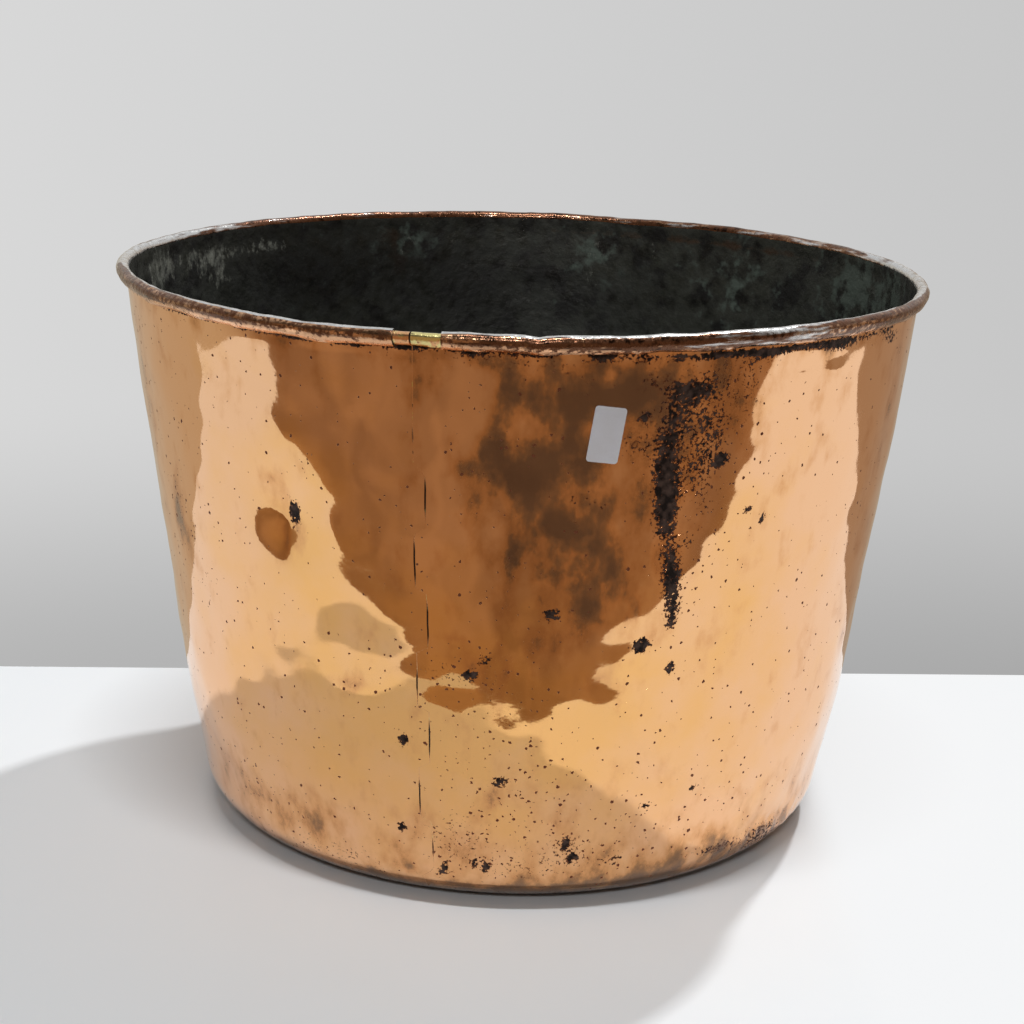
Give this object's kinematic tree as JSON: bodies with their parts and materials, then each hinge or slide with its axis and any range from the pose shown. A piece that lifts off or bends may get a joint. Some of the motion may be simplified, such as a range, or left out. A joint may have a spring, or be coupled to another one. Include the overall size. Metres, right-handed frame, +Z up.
{
  "type": "laundry copper",
  "caption": "Deep round open wash boiler of sheet copper, wider at the top, with a wired rim, a brazed side seam and a dished base.",
  "frame": {"origin": "centre of the flat underside, on the surface that the copper stands on", "axes": "+Z up out of the mouth, -Y the front, where the side seam is"},
  "size_m": [0.61, 0.61, 0.426],
  "materials": {
    "polished_copper": "old copper polished nearly to a mirror, with brown tarnish and small pits; the inside is dull, with worn tin and verdigris",
    "fired_copper": "dented copper, browned by the fire",
    "brazing_brass": "dull yellow brazing brass, worn flush with the sheet",
    "iron_wire": "plain black iron wire, hidden in the rim",
    "label_paper": "matt white paper"
  },
  "bodies": {
    "root": {"wall_sheet": "polished_copper", "base_pan": "fired_copper", "side_seam_braze": "brazing_brass", "base_seam_braze": "brazing_brass", "rim_wire": "iron_wire", "rim_braze_left": "brazing_brass", "rim_braze_right": "brazing_brass", "paper_label": "label_paper"}
  },
  "joints": []
}
